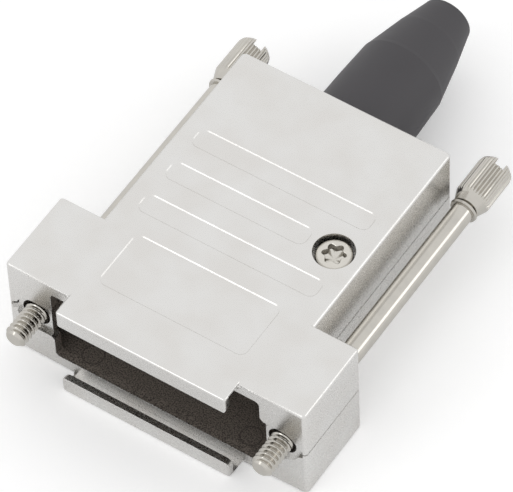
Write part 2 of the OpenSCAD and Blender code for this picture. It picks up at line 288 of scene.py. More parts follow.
def bump(
    tree: Tree, height: Socket, relief: Pair, normal: Optional[Socket] = None
) -> Socket:
    """Tilts a normal as a height field would.

    Args:
        tree: Node tree that takes the node.
        height: The field, from 0 to 1.
        relief: Strength of the tilt, and depth of the field in millimetres.
        normal: Normal to start from, instead of the surface's own.

    Returns:
        The tilted normal.
    """
    strength, depth_mm = relief
    inputs = {"Strength": strength, "Distance": depth_mm * MM, "Height": height}
    if normal is not None:
        inputs["Normal"] = normal
    return add_node(tree, "ShaderNodeBump", None, inputs).outputs[0]


# ---- meshes ----


def add_object(name: str, data: bpy.types.ID) -> Object:
    """Makes an object of its data and links it to the scene.

    Args:
        name: Name of the object.
        data: Mesh, lamp or camera.

    Returns:
        The new object.
    """
    made = bpy.data.objects.new(name, data)
    bpy.context.scene.collection.objects.link(made)
    return made


def ring(radius: Callable[[float], float], height: float, steps: int) -> Loop:
    """Makes one closed loop of points round the local Z axis.

    Args:
        radius: Radius in millimetres for an angle in radians.
        height: Height of the loop in millimetres.
        steps: Number of points.

    Returns:
        The points, in millimetres.
    """
    angles = (2 * math.pi * i / steps for i in range(steps))
    return [
        Vector((radius(a) * math.cos(a), radius(a) * math.sin(a), height))
        for a in angles
    ]


def circle(radius: float, height: float, steps: int) -> Loop:
    """Makes one round loop about the local Z axis.

    Args:
        radius: Radius in millimetres.
        height: Height of the loop in millimetres.
        steps: Number of points.

    Returns:
        The points, in millimetres.
    """
    return ring(lambda _: radius, height, steps)


def skin(name: str, loops: Sequence[Loop], place: Matrix, sharp_deg: float) -> Object:
    """Skins a stack of loops with equal numbers of points and caps both ends.

    Args:
        name: Name of the new object.
        loops: Loops in millimetres, from one end to the other.
        place: Turns local millimetres to the frame's metres.
        sharp_deg: Edges with a sharper angle than this stay sharp.

    Returns:
        The new object, closed, with smooth shading.
    """
    mesh = bpy.data.meshes.new(name)
    steps = len(loops[0])
    points = [place @ p for loop in loops for p in loop]
    faces: list[tuple[int, ...]] = []
    for row in range(len(loops) - 1):
        low, high = row * steps, (row + 1) * steps
        for i in range(steps):
            j = (i + 1) % steps
            faces.append((low + i, low + j, high + j, high + i))
    for centre, start, turned in (
        (sum(loops[0], Vector()) / steps, 0, True),
        (sum(loops[-1], Vector()) / steps, (len(loops) - 1) * steps, False),
    ):
        points.append(place @ centre)
        hub = len(points) - 1
        for i in range(steps):
            j = (i + 1) % steps
            edge = (start + j, start + i) if turned else (start + i, start + j)
            faces.append((*edge, hub))
    mesh.from_pydata(points, [], faces)
    made = add_object(name, mesh)
    smooth(made, sharp_deg)
    return made


def smooth(target: Object, sharp_deg: float) -> None:
    """Shades a mesh smooth, apart from edges sharper than sharp_deg."""
    mesh = target.data
    mesh.polygons.foreach_set("use_smooth", [True] * len(mesh.polygons))
    mesh.set_sharp_from_angle(angle=math.radians(sharp_deg))
    mesh.update()


def cut(target: Object, tool: Object) -> None:
    """Cuts a tool body from a target mesh and removes the tool.

    Args:
        target: Mesh object to cut, changed in place.
        tool: Mesh object that is taken away.
    """
    step = target.modifiers.new("cut", "BOOLEAN")
    step.operation = "DIFFERENCE"
    step.solver = "EXACT"
    step.object = tool
    graph = bpy.context.evaluated_depsgraph_get()
    mesh = bpy.data.meshes.new_from_object(target.evaluated_get(graph))
    target.modifiers.clear()
    old = target.data
    target.data = mesh
    mesh.name = old.name
    bpy.data.meshes.remove(old)
    bpy.data.objects.remove(tool)


def block(name: str, size: Vector, place: Matrix) -> Object:
    """Makes a plain block, used as a cutting tool.

    Args:
        name: Name of the object.
        size: Its three edges in millimetres.
        place: Turns local millimetres to the frame's metres.

    Returns:
        The new object.
    """
    mesh = bpy.data.meshes.new(name)
    shape = bmesh.new()
    bmesh.ops.create_cube(shape, size=1.0)
    bmesh.ops.transform(
        shape, matrix=place @ Matrix.Diagonal((*size, 1.0)), verts=shape.verts
    )
    shape.to_mesh(mesh)
    shape.free()
    return add_object(name, mesh)


def point_key(vertex: bpy.types.MeshVertex) -> Key:
    """Names a vertex by its place, as the meshes hold a point once per facet."""
    return tuple(round(part / MM, 3) for part in vertex.co)


def blend_rounds(mesh: bpy.types.Mesh, blend_deg: float = 30.0) -> None:
    """Sets corner normals so that flat faces stay flat and rounds run into them.

    Args:
        mesh: Mesh with flat faces along the axes and faceted rounds.
        blend_deg: Largest angle between facets of one round.
    """
    limit = math.cos(math.radians(blend_deg))
    keys = [point_key(vertex) for vertex in mesh.vertices]
    facets_at: dict[Key, set[Key]] = {key: set() for key in keys}
    for face in mesh.polygons:
        facet = tuple(round(part, 3) for part in face.normal)
        for index in face.vertices:
            facets_at[keys[index]].add(facet)
    normals = []
    for face in mesh.polygons:
        face.use_smooth = True
        own = face.normal.copy()
        if max(abs(part) for part in own) > FLAT:
            normals += [tuple(own)] * len(face.vertices)
            continue
        for index in face.vertices:
            facets = facets_at[keys[index]]
            close = [Vector(n) for n in facets if own.dot(Vector(n)) > limit]
            flat = [n for n in close if max(abs(part) for part in n) > FLAT]
            mean = sum(flat or close, Vector())
            normals.append(tuple((mean or own).normalized()))
    mesh.normals_split_custom_set(normals)
    mesh.update()


@dataclass(frozen=True)
class RoundedBlock:
    """Block of a casting whose outer edges are rounded, in millimetres.

    The upright corners have the radius corner_r, the long edges edge_r. inset is
    the depth of the groove where the halves meet. A point nearer than near to a
    face or a round counts as on it.
    """

    low: Vector
    high: Vector
    corner_r: float
    edge_r: float
    front_round: bool = True
    rear_round: bool = True
    inset: float = 0.14
    near: float = 0.012

    def on_arc(self, first: float, second: float, radius: float) -> bool:
        """Tells whether a point lies on a quarter round between two faces.

        Args:
            first: Depth below the first face.
            second: Depth below the second face.
            radius: Radius of the quarter round.

        Returns:
            True on the round itself.
        """
        shallow, deep = min(first, second), max(first, second)
        inside = shallow > -self.near and deep < radius + self.near
        away = math.hypot(radius - first, radius - second) - radius
        return inside and abs(away) < self.near

    def sharpened(self, point: Vector, share: float) -> Optional[Vector]:
        """Moves a point of a rounded edge to the same edge with a smaller radius.

        Args:
            point: Point in millimetres.
            share: New radius as a share of the old one.

        Returns:
            The moved point, or nothing where the point isn't on such an edge.
        """
        front = point.y < (self.low.y + self.high.y) / 2
        face = Vector(
            (
                self.low.x if point.x < 0 else self.high.x,
                self.low.y if front else self.high.y,
                self.low.z if point.z < (self.low.z + self.high.z) / 2 else self.high.z,
            )
        )
        way = Vector(
            (
                1.0 if point.x < 0 else -1.0,
                1.0 if face.y == self.low.y else -1.0,
                1.0 if face.z == self.low.z else -1.0,
            )
        )
        deep = Vector([(point[i] - face[i]) * way[i] for i in range(3)])
        if deep.y < -self.near:
            return None
        if not (self.front_round if front else self.rear_round):
            deep.y = FAR
        c, e = self.corner_r, self.edge_r
        gap = 0.0
        if deep.z > e + self.near:
            # an upright corner, which the groove of the joint sets back
            if not self.on_arc(deep.x, deep.y, c):
                gap = self.inset
                if not self.on_arc(deep.x - gap, deep.y - gap, c):
                    return None
            scale = Vector((share, share, 1.0))
        elif max(deep.x, deep.y) < c + self.near:
            # the end of an upright corner, where three rounds meet
            out = math.hypot(c - deep.x, c - deep.y) - (c - e)
            off = math.hypot(out, e - deep.z) - e
            if min(deep) < -self.near or abs(off) > 2 * self.near:
                return None
            scale = Vector((share, share, share))
        elif self.on_arc(deep.x, deep.z, e):
            scale = Vector((share, 1.0, share))
        elif self.on_arc(deep.y, deep.z, e):
            scale = Vector((1.0, share, share))
        else:
            return None
        deep.y = (point.y - face.y) * way.y
        rim = (gap, gap, 0.0)
        moved = [rim[i] + (deep[i] - rim[i]) * scale[i] for i in range(3)]
        return Vector([face[i] + way[i] * moved[i] for i in range(3)])


# ---- finishes ----


@dataclass(frozen=True)
class Room:
    """Box that holds inner walls of the hood, in millimetres."""

    low: Triple
    high: Triple

    def share(self, tree: Tree, point: Socket) -> Socket:
        """Adds nodes that give 1 inside the box and 0 outside.

        Args:
            tree: Node tree that takes the nodes.
            point: Coordinates in metres.

        Returns:
            The share's socket.
        """
        axes = add_node(tree, "ShaderNodeSeparateXYZ", None, {0: point}).outputs
        share: Value = 1.0
        for axis, low, high in zip(axes, self.low, self.high):
            above = math_node(tree, "GREATER_THAN", axis, low * MM)
            below = math_node(tree, "LESS_THAN", axis, high * MM)
            both = math_node(tree, "MULTIPLY", above, below)
            share = math_node(tree, "MULTIPLY", share, both)
        return share


@dataclass(frozen=True)
class NickelOnCasting:
    """Zinc die casting under satin nickel plate.

    The cast skin leaves a fine orange peel under the plate, so the metal
    mirrors its surroundings softly and glitters in small grains. The inner
    walls are coloured dark as painted shade of the closed hollow, and are rough.
    Each relief is a strength and a depth in millimetres, and each mark or bore
    an upright axis and a radius.
    """

    name: str = "nickel_plated_zinc"
    plate: str = "#dfdedc"
    cloud: str = "#dbd9d6"
    # painted shade: dark colours of the inner walls, for the shade inside the hood
    inside_shade: str = "#8a8178"
    inside_shade_pit: str = "#4a443f"
    roughness: Pair = (0.24, 0.32)
    inside_roughness: float = 0.55
    inside_metal: float = 0.3
    peel_mm: float = 0.3
    peel_relief: Pair = (0.05, 0.02)
    grain_mm: float = 0.16
    grain_relief: Pair = (0.12, 0.03)
    pit_mm: float = 0.28
    pit_relief: Pair = (0.6, 0.05)
    cloud_mm: float = 5.0
    # ranges of the noises over which clouds, crests and pits come up
    cloud_range: Pair = (0.35, 0.65)
    crest_range: Pair = (0.6, 0.74)
    pit_range: Pair = (0.35, 0.6)
    edge_mm: float = 0.07
    mark_w: float = 0.09
    mark_share: float = 0.6
    rooms: tuple[Room, ...] = ()
    bores: tuple[Triple, ...] = ()
    marks: tuple[Triple, ...] = ()

    def make(self) -> Material:
        """Builds the material."""
        material, tree = new_material(self.name)
        point = object_point(tree)
        grain = noise(tree, point, self.grain_mm, 1.0)
        inputs = {
            # the plate outside, and painted shade on the inner walls
            0: self.room_share(tree, point),
            1: self.plated(tree, point, grain).outputs[0],
            2: self.cast(tree, point, grain).outputs[0],
        }
        finish_surface(tree, add_node(tree, "ShaderNodeMixShader", None, inputs))
        return material

    def plated(self, tree: Tree, point: Socket, grain: Socket) -> bpy.types.Node:
        """Builds the bright outer plate.

        Args:
            tree: Node tree of the material.
            point: Coordinates in metres.
            grain: Fine grain of the cast skin.

        Returns:
            The shader node.
        """
        clouds = noise(tree, point, self.cloud_mm)
        share = remap(tree, clouds, self.cloud_range)
        colour = mix_colour(tree, share, linear(self.plate), linear(self.cloud))
        peel = noise(tree, point, self.peel_mm, 1.0)
        rounded = edge_normal(tree, self.edge_mm)
        peeled = bump(tree, peel, self.peel_relief, rounded)
        # only the crests of the grain stand up, for sparse glints
        crests = remap(tree, grain, self.crest_range)
        normal = bump(tree, crests, self.grain_relief, peeled)
        inputs = {
            "Base Color": colour,
            "Metallic": 1.0,
            "Roughness": remap(tree, grain, COMMON, self.roughness),
            "Normal": normal,
        }
        return add_node(tree, "ShaderNodeBsdfPrincipled", None, inputs)

    def cast(self, tree: Tree, point: Socket, grain: Socket) -> bpy.types.Node:
        """Builds the inner walls, coloured dark as painted shade.

        Args:
            tree: Node tree of the material.
            point: Coordinates in metres.
            grain: Fine grain of the cast skin.

        Returns:
            The shader node.
        """
        pits = noise(tree, point, self.pit_mm, 3.0)
        normal = bump(tree, pits, self.pit_relief)
        share = remap(tree, grain, self.pit_range)
        # painted shade: dark colours of the inner walls, uneven with the grain
        colour = mix_colour(tree, share, linear(self.inside_shade_pit), linear(self.inside_shade))
        # faint rings where the ejector pins pushed the casting out
        for x, y, radius in self.marks:
            away = axis_distance(tree, point, x, y)
            inputs = {0: away, 1: radius * MM, 2: self.mark_w * MM}
            on_ring = add_node(tree, "ShaderNodeMath", {"operation": "COMPARE"}, inputs)
            share = math_node(tree, "MULTIPLY", on_ring.outputs[0], self.mark_share)
            colour = mix_colour(tree, share, colour, linear(self.inside_shade_pit))
        inputs = {
            "Base Color": colour,
            "Metallic": self.inside_metal,
            "Roughness": self.inside_roughness,
            "Normal": normal,
        }
        return add_node(tree, "ShaderNodeBsdfPrincipled", None, inputs)

    def room_share(self, tree: Tree, point: Socket) -> Socket:
        """Finds where the inside of the hood is, which gets the painted shade.

        Args:
            tree: Node tree of the material.
            point: Coordinates in metres.

        Returns:
            A share that is 1 on the inner walls and 0 elsewhere.
        """
        share: Value = 0.0
        for room in self.rooms:
            share = math_node(tree, "MAXIMUM", share, room.share(tree, point))
        # the walls of the two counterbores are plated like the outside
        for x, y, radius in self.bores:
            away = axis_distance(tree, point, x, y)
            outside = math_node(tree, "GREATER_THAN", away, radius * MM)
            share = math_node(tree, "MULTIPLY", share, outside)
        return share


@dataclass(frozen=True)
class TurnedMetal:
    """Turned steel under a thin plate, with faint marks left by the tool.

    The marks run across Y, so they are rings on the jackscrews. mark_mm is one
    radian of their wave.
    """

    name: str
    plate: str = "#bdbab4"
    roughness: Pair = (0.1, 0.18)
    cloud: str = "#cdc9c1"
    cloud_mm: float = 1.4
    mark_mm: float = 0.12
    mark_bend: float = 1.5
    mark_relief: Pair = (0.12, 0.01)
    edge_mm: float = 0.04

    def make(self) -> Material:
        """Builds the material."""
        material, tree = new_material(self.name)
        point = object_point(tree)
        settings = {"wave_type": "BANDS", "bands_direction": "Y"}
        inputs = {
            "Vector": point,
            "Scale": 1 / (self.mark_mm * MM) / WAVE_RADIANS,
            "Distortion": self.mark_bend,
            "Detail": 1.0,
        }
        marks = add_node(tree, "ShaderNodeTexWave", settings, inputs).outputs["Fac"]
        clouds = noise(tree, point, self.cloud_mm)
        rounded = edge_normal(tree, self.edge_mm)
        normal = bump(tree, marks, self.mark_relief, rounded)
        colour = mix_colour(tree, clouds, linear(self.plate), linear(self.cloud))
        inputs = {
            "Base Color": colour,
            "Metallic": 1.0,
            "Roughness": remap(tree, clouds, COMMON, self.roughness),
            "Normal": normal,
        }
        finish_surface(tree, add_node(tree, "ShaderNodeBsdfPrincipled", None, inputs))
        return material


@dataclass(frozen=True)
class MouldedRubber:
    """Black rubber from a spark-eroded mould: matt, with a fine even grain."""

    name: str = "black_moulded_rubber"
    colour: str = "#3b393c"
    dust: str = "#454346"
    dust_mm: float = 3.5
    roughness: Pair = (0.5, 0.6)
    ior: float = 1.5
    grain_mm: float = 0.18
    grain_relief: Pair = (0.25, 0.02)

    def make(self) -> Material:
        """Builds the material."""
        material, tree = new_material(self.name)
        point = object_point(tree)
        clouds = noise(tree, point, self.dust_mm, 3.0)
        grain = noise(tree, point, self.grain_mm)
        normal = bump(tree, grain, self.grain_relief)
        colour = mix_colour(tree, clouds, linear(self.colour), linear(self.dust))
        inputs = {
            "Base Color": colour,
            "Roughness": remap(tree, clouds, COMMON, self.roughness),
            "IOR": self.ior,
            "Normal": normal,
        }
        finish_surface(tree, add_node(tree, "ShaderNodeBsdfPrincipled", None, inputs))
        return material


@dataclass(frozen=True)
class PaleFloor:
    """Matt white sheet under the part. It keeps the part's shadow.

    The camera sees it brighter by lift, and nothing else does.
    """

    name: str = "white_paper_floor"
    colour: str = "#fbfbfb"
    cloud: str = "#fdfdfd"
    cloud_mm: float = 40.0
    lift: float = 0.16

    def make(self) -> Material:
        """Builds the material."""
        material, tree = new_material(self.name)
        rays = add_node(tree, "ShaderNodeLightPath").outputs
        clouds = noise(tree, object_point(tree), self.cloud_mm)
        colour = mix_colour(tree, clouds, linear(self.colour), linear(self.cloud))
        paper = add_node(tree, "ShaderNodeBsdfDiffuse", None, {"Color": colour})
        level = math_node(tree, "MULTIPLY", rays["Is Camera Ray"], self.lift)
        glow = add_node(tree, "ShaderNodeEmission", None, {"Strength": level})
        inputs = {0: paper.outputs[0], 1: glow.outputs[0]}
        finish_surface(tree, add_node(tree, "ShaderNodeAddShader", None, inputs))
        return material


def dress(target: Object, material: Material) -> None:
    """Gives a whole object one material."""
    target.data.materials.clear()
    target.data.materials.append(material)


# ---- sub-assemblies ----


@dataclass
class Shells:
    """The two half shells, taken from their solids with crisper outer edges.

    The castings' edges are rounded by less than half a millimetre, which gives
    thin bright lines round each face.
    """

    frame: dict
    # outer blocks of the solids, and how much smaller their rounds get
    lip_out: float = 2.7
    lip_w: float = 22.8
    lip_edge: float = 0.7
    lip_short: float = 2.0
    flange_d: float = 11.2
    flange_r: float = 1.0
    body_w: float = 28.4
    body_start: float = 3.0
    body_r: float = 1.3
    edge_r: float = 1.0
    edge_share: float = 0.45
    # half width, front and rear of the label area, which keeps its points
    label_area: Triple = (10.5, 0.8, 12.0)
    # the inside, which starts at margin below the outer faces, gets the painted shade
    margin: float = 0.7
    room_w: float = 25.6
    front_wall: float = 1.1
    open_w: float = 28.2
    open_rim: float = 0.12
    bore_r: float = 2.8
    screws: tuple[str, ...] = ("assembly_screw_right", "assembly_screw_left")
    ejectors: tuple[Triple, ...] = ((-10.5, 2.3, 1.3), (10.97, 2.5, 1.3))
    # recesses up to the limit get the depth recess_d, and walls that lean by draft
    recess_limit: float = 0.46
    recess_d: float = 0.12
    draft: float = 0.15
    # a point this near an outer face is on it
    touch: float = 0.005
    # the normal of an upright wall has no more than this along Z
    upright: float = 0.005
    slots: tuple[tuple[str, str], ...] = (
        ("top_shell", "cast_shell_top"),
        ("bottom_shell", "cast_shell_bottom"),
    )
    low: Vector = field(init=False)
    high: Vector = field(init=False)
    front: float = field(init=False)

    def __post_init__(self) -> None:
        """Takes the outer faces of the hood from the frame."""
        self.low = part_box("bottom_shell")[0] / MM
        self.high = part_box("top_shell")[1] / MM
        self.front = self.low.y + self.lip_out

    def bore(self, node: str) -> Triple:
        """Finds the counterbore of an assembly screw: axis and radius, in mm."""
        low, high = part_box(node)
        axis = (low + high) / 2 / MM
        return axis.x, axis.y, self.bore_r

    def blocks(self) -> tuple[RoundedBlock, ...]:
        """Lists the lips, the flange and the cable body as rounded blocks."""
        low, high, front = self.low, self.high, self.front
        lip, body = self.lip_w / 2, self.body_w / 2
        return (
            RoundedBlock(
                Vector((-lip, low.y, low.z)),
                Vector((lip, front + self.flange_d - self.lip_short, high.z)),
                self.lip_edge,
                self.lip_edge,
                rear_round=False,
            ),
            RoundedBlock(
                Vector((low.x, front, low.z)),
                Vector((high.x, front + self.flange_d, high.z)),
                self.flange_r,
                self.edge_r,
            ),
            RoundedBlock(
                Vector((-body, front + self.body_start, low.z)),
                Vector((body, high.y, high.z)),
                self.body_r,
                self.edge_r,
                front_round=False,
            ),
        )

    def crisp(self, node: str) -> Object:
        """Copies a shell's mesh and draws its outer edges with smaller radii.

        Args:
            node: Frame node of the shell.

        Returns:
            The new object.
        """
        mesh = self.frame["nodes"][node].data.copy()
        made = add_object(f"cast_{node}", mesh)
        blocks = self.blocks()
        half_w, area_front, area_rear = self.label_area
        moved = 0
        for vertex in mesh.vertices:
            point = vertex.co / MM
            along = point.y - self.front
            if abs(point.x) < half_w and area_front < along < area_rear:
                continue
            for shape in blocks:
                place = shape.sharpened(point, self.edge_share)
                if place is not None:
                    vertex.co = place * MM
                    moved += 1
                    break
        mesh.update()
        self.slope_recesses(mesh)
        blend_rounds(mesh)
        LOG.info("moved %d points of %s", moved, made.name)
        return made

    def slope_recesses(self, mesh: bpy.types.Mesh) -> None:
        """Gives the flat recesses in the outer faces sloped walls.

        The recesses get shallow, with walls that lean outwards. The sloped rear
        walls catch the light as thin bright lines.

        Args:
            mesh: Mesh of one shell, in metres.
        """
        outer = (self.low.z * MM, self.high.z * MM)
        keys = [point_key(vertex) for vertex in mesh.vertices]
        walls: dict[Key, set[Key]] = {}
        floors: dict[Key, float] = {}
        for face in mesh.polygons:
            if abs(face.normal.z) > self.upright:
                continue
            heights = [mesh.vertices[i].co.z for i in face.vertices]
            side = min(outer, key=lambda o: max(abs(z - o) for z in heights))
            depth = max(abs(z - side) for z in heights)
            if depth > self.recess_limit * MM:
                continue
            for index in face.vertices:
                if abs(mesh.vertices[index].co.z - side) < self.touch * MM:
                    normal = tuple(round(part, 3) for part in face.normal)
                    walls.setdefault(keys[index], set()).add(normal)
                else:
                    inward = 1.0 if side == outer[0] else -1.0
                    floors[keys[index]] = side + inward * self.recess_d * MM
        for vertex, key in zip(mesh.vertices, keys):
            if key in floors:
                vertex.co.z = floors[key]
            elif key in walls:
                total = sum((Vector(n) for n in walls[key]), Vector())
                vertex.co -= total.normalized() * self.draft * MM
        mesh.update()

    def inside(self) -> tuple[Room, ...]:
        """Lists the boxes of the flange, the body and the connector opening."""
        low, high, front, margin = self.low, self.high, self.front, self.margin
        start = front + self.front_wall
        roof = high.z - margin
        return (
            Room(
                (low.x + margin, start, margin),
                (high.x - margin, front + self.flange_d - margin, roof),
            ),
            Room(
                (-self.room_w / 2, start, margin),
                (self.room_w / 2, high.y - margin, roof),
            ),
            Room(
                (-self.open_w / 2, front + self.open_rim, margin),
                (self.open_w / 2, start, roof),
            ),
        )

    def build(self) -> None:
        """Builds both half shells, with their plate outside and painted shade on the
        inner walls.
        """
        finish = NickelOnCasting(
            rooms=self.inside(),
            bores=tuple(self.bore(node) for node in self.screws),
            marks=tuple((x, self.front + y, r) for x, y, r in self.ejectors),
        )
        material = finish.make()
        for node, slot in self.slots:
            made = self.crisp(node)
            dress(made, material)
            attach(made, "hood")
            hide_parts(node)
            LOG.info("built %s", made.name)


@dataclass
class HoodScrew:
    """Pan-head screw with a six-lobe recess, in its counterbore on the top."""

    node: str = "assembly_screw_right"
    below_top: float = 0.42
    head_r: float = 2.2
    head_h: float = 1.9
    shank_r: float = 1.25
    tip_l: float = 0.4
    tip_in: float = 0.3
    seat_gap: float = 0.02
    recess_r: float = 1.26
    lobes: int = 6
    lobe: float = 0.2
    recess_d: float = 0.95
    turn_deg: float = 20.0
    steps: int = 96
    sharp_deg: float = 30.0
    # the head from its seat: height, and distance in from its radius
    foot: Profile = ((0.001, 0.05), (0.06, 0.0))
    # the head from its top: depth, and distance in from its radius
    crown: Profile = ((0.42, 0.0), (0.2, 0.1), (0.05, 0.28), (0.0, 0.5))
    # the recess from the top, and from the end of its walls: depth and scale
    mouth: Profile = ((0.005, 1.06), (0.06, 1.0))
    bed: Profile = ((0.0, 0.97), (0.05, 0.9), (0.2, 0.3))

    def lobed(self, scale: float) -> Callable[[float], float]:
        """Gives the recess outline as radius by angle, at one scale."""
        n, turn = self.lobes, math.radians(self.turn_deg)
        return lambda a: scale * (self.recess_r + self.lobe * math.cos(n * (a - turn)))

    def build(self, plate: Material, shaded: Material) -> None:
        """Builds the screw in place of its plain solid.

        Args:
            plate: Finish of the head.
            shaded: Finish of the recess walls, dark as painted shade.
        """
        low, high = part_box(self.node)
        axis = (low + high) / 2
        length = (high.z - low.z) / MM
        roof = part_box("top_shell")[1].z / MM
        top = roof - self.below_top - low.z / MM
        seat = length - self.head_h + self.seat_gap
        end = top - self.recess_d
        place = Matrix.Translation((axis.x, axis.y, low.z)) @ Matrix.Scale(MM, 4)
        outer = [
            (0.0, self.shank_r - self.tip_in),
            (self.tip_l, self.shank_r),
            (seat, self.shank_r),
        ]
        outer += [(seat + up, self.head_r - inward) for up, inward in self.foot]
        outer += [(top - down, self.head_r - inward) for down, inward in self.crown]
        recess = [(top - down, scale) for down, scale in self.mouth]
        recess += [(end - down, scale) for down, scale in self.bed]
        loops = [circle(radius, height, self.steps) for height, radius in outer]
        loops += [ring(self.lobed(scale), h, self.steps) for h, scale in recess]
        made = skin(f"plated_{self.node}", loops, place, self.sharp_deg)
        dress(made, plate)
        made.data.materials.append(shaded)
        # the band of faces from the last loop of the mouth to the bed gets the painted
        # shade of the recess
        first = (len(outer) + len(self.mouth) - 1) * self.steps
        for face in made.data.polygons[first : first + self.steps]:
            face.material_index = 1
        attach(made, "hood")
        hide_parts(self.node)
        LOG.info("built %s", made.name)


@dataclass
class Jackscrew:
    """Long knurled screw beside the hood, turned in one piece.

    Heights are measured along the screw from its threaded tip.
    """

    side: Side
    # the thread: a share of each turn is crest, another is flank
    pitch: float = 0.635
    thread_r: float = 1.42
    thread_depth: float = 0.38
    thread_l: float = 4.7
    crest: float = 0.12
    flank: float = 0.76
    fade_l: float = 0.5
    tip_in: float = 0.45
    tip_slope: float = 1.1
    rows_per_turn: int = 14
    # the plain shank with its relief and its groove for the ring
    relief_r: float = 1.1
    relief_l: float = 0.8
    shank_r: float = 1.38
    ring_at: float = 9.08
    ring_w: float = 0.64
    ring_depth: float = 0.3
    # the head, whose knurl is turned down at both ends
    head_at: float = 42.3
    cone_l: float = 1.9
    knurl_lead: float = 0.2
    head_r: float = 2.2
    knurls: int = 32
    knurl_depth: float = 0.17
    # knurl width over valley width
    valley: float = 1.5
    start_in: float = 0.01
    start_slope: float = 0.36
    taper_l: float = 0.95
    taper_slope: float = 0.26
    rim_l: float = 0.5
    rim_in: float = 0.12
    rim_slope: float = 0.95
    face_in: float = 0.62
    per_knurl: int = 6
    # loops of the knurl: from its start upwards, and before the end of the head
    start_rows: tuple[float, ...] = tuple(0.05 * i for i in range(12))
    end_rows: tuple[float, ...] = (0.95, 0.8, 0.65, 0.5, 0.35, 0.2, 0.08, 0.02)
    # the driver slot
    slot_w: float = 1.2
    slot_depth: float = 1.2
    slot_deg: float = 24.0
    sharp_deg: float = 28.0
    length: float = field(init=False)
    low: Vector = field(init=False)
    axis: Vector = field(init=False)

    def __post_init__(self) -> None:
        """Takes the length and the place of the axis from the frame."""
        low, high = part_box(self.side.node)
        self.length = (high.y - low.y) / MM
        self.low = low
        self.axis = (low + high) / 2

    @property
    def place(self) -> Matrix:
        """Turns the screw's own millimetres to the frame's metres."""
        stand = Matrix.Rotation(math.radians(-90), 4, "X")
        base = Matrix.Translation((self.axis.x, self.low.y, self.axis.z))
        return base @ stand @ Matrix.Scale(MM, 4)

    def thread_radius(self, angle: float, height: float) -> float:
        """Radius of the threaded end at one point.

        Args:
            angle: Angle round the screw in radians.
            height: Distance from the tip in millimetres.

        Returns:
            Radius in millimetres.
        """
        turn = (height / self.pitch - angle / (2 * math.pi)) % 1.0
        flank = min(1.0, max(0.0, (abs(turn - 0.5) * 2 - self.crest) / self.flank))
        fade = min(1.0, max(0.0, (self.thread_l - height) / self.fade_l))
        tip = self.thread_r - self.tip_in + height * self.tip_slope
        return min(self.thread_r - self.thread_depth * flank * fade, tip)

    def knurl_radius(self, angle: float, height: float, start: float) -> float:
        """Radius of the knurled head at one point.

        Args:
            angle: Angle round the screw in radians.
            height: Distance from the tip in millimetres.
            start: Where the knurl starts.

        Returns:
            Radius in millimetres.
        """
        end = self.length
        turn = (angle * self.knurls / (2 * math.pi)) % 1.0
        valley = max(0.0, 1 - abs(turn - 0.5) * 2 * self.valley)
        full = self.head_r - self.knurl_depth * valley
        if height > end - self.rim_l:
            past = max(0.0, height - (end - self.rim_l))
            turned = self.head_r - self.rim_in - past * self.rim_slope
        elif height > end - self.taper_l:
            turned = self.head_r - (height - end + self.taper_l) * self.taper_slope
        else:
            turned = self.head_r - self.knurl_depth - self.start_in
            turned += (height - start) * self.start_slope
        return min(full, turned)

    def loops(self) -> list[Loop]:
        """Stacks the loops of the whole screw from tip to head."""
        steps = self.knurls * self.per_knurl
        made: list[Loop] = []
        rows = int(self.thread_l / self.pitch * self.rows_per_turn)
        for row in range(rows + 1):
            h = self.thread_l * row / rows
            made.append(ring(lambda a, h=h: self.thread_radius(a, h), h, steps))
        made += [circle(radius, h, steps) for h, radius in self.plain_profile()]
        start = self.head_at + self.cone_l - self.knurl_lead
        heights = [start + up for up in self.start_rows]
        heights += [self.length - back for back in self.end_rows]
        for h in heights:
            made.append(ring(lambda a, h=h: self.knurl_radius(a, h, start), h, steps))
        made.append(circle(self.head_r - self.face_in, self.length, steps))
        return made

    def plain_profile(self) -> Profile:
        """Heights and radii between the thread and the knurl."""
        relief_end = self.thread_l + self.relief_l
        ring_end = self.ring_at + self.ring_w
        head, r = self.head_at, self.head_r
        return (
            (self.thread_l + 0.16, self.relief_r),
            (relief_end, self.relief_r),
            (relief_end + 0.2, self.shank_r),
            (self.ring_at - 0.001, self.shank_r),
            (self.ring_at, self.shank_r - self.ring_depth),
            (ring_end, self.shank_r - self.ring_depth),
            (ring_end + 0.001, self.shank_r),
            (head - 0.02, self.shank_r),
            # collar
            (head, r - 0.56),
            (head + 0.04, r - 0.5),
            (head + 0.26, r - 0.43),
            (head + 0.3, r - 0.47),
            # neck
            (head + 0.36, self.relief_r),
            (head + 0.58, self.relief_r),
            # cone
            (head + 0.62, r - 0.66),
            (head + 0.68, r - 0.58),
            (head + 1.3, r - 0.34),
            (head + self.cone_l - 0.25, r - self.knurl_depth - 0.02),
        )

    def build(self, material: Material) -> None:
        """Builds the screw in place of its plain solid, riding on its own body.

        Args:
            material: Finish of the screw.
        """
        name = f"turned_{self.side.node}"
        made = skin(name, self.loops(), self.place, self.sharp_deg)
        slot_size = Vector((self.slot_w, 3 * self.head_r, 2 * self.slot_depth))
        middle = Matrix.Translation((0, 0, self.length))
        turn = Matrix.Rotation(math.radians(self.slot_deg), 4, "Z")
        cut(made, block("slot_tool", slot_size, self.place @ middle @ turn))
        smooth(made, self.sharp_deg)
        dress(made, material)
        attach(made, self.side.body)
        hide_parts(self.side.node)
        LOG.info("built %s", made.name)


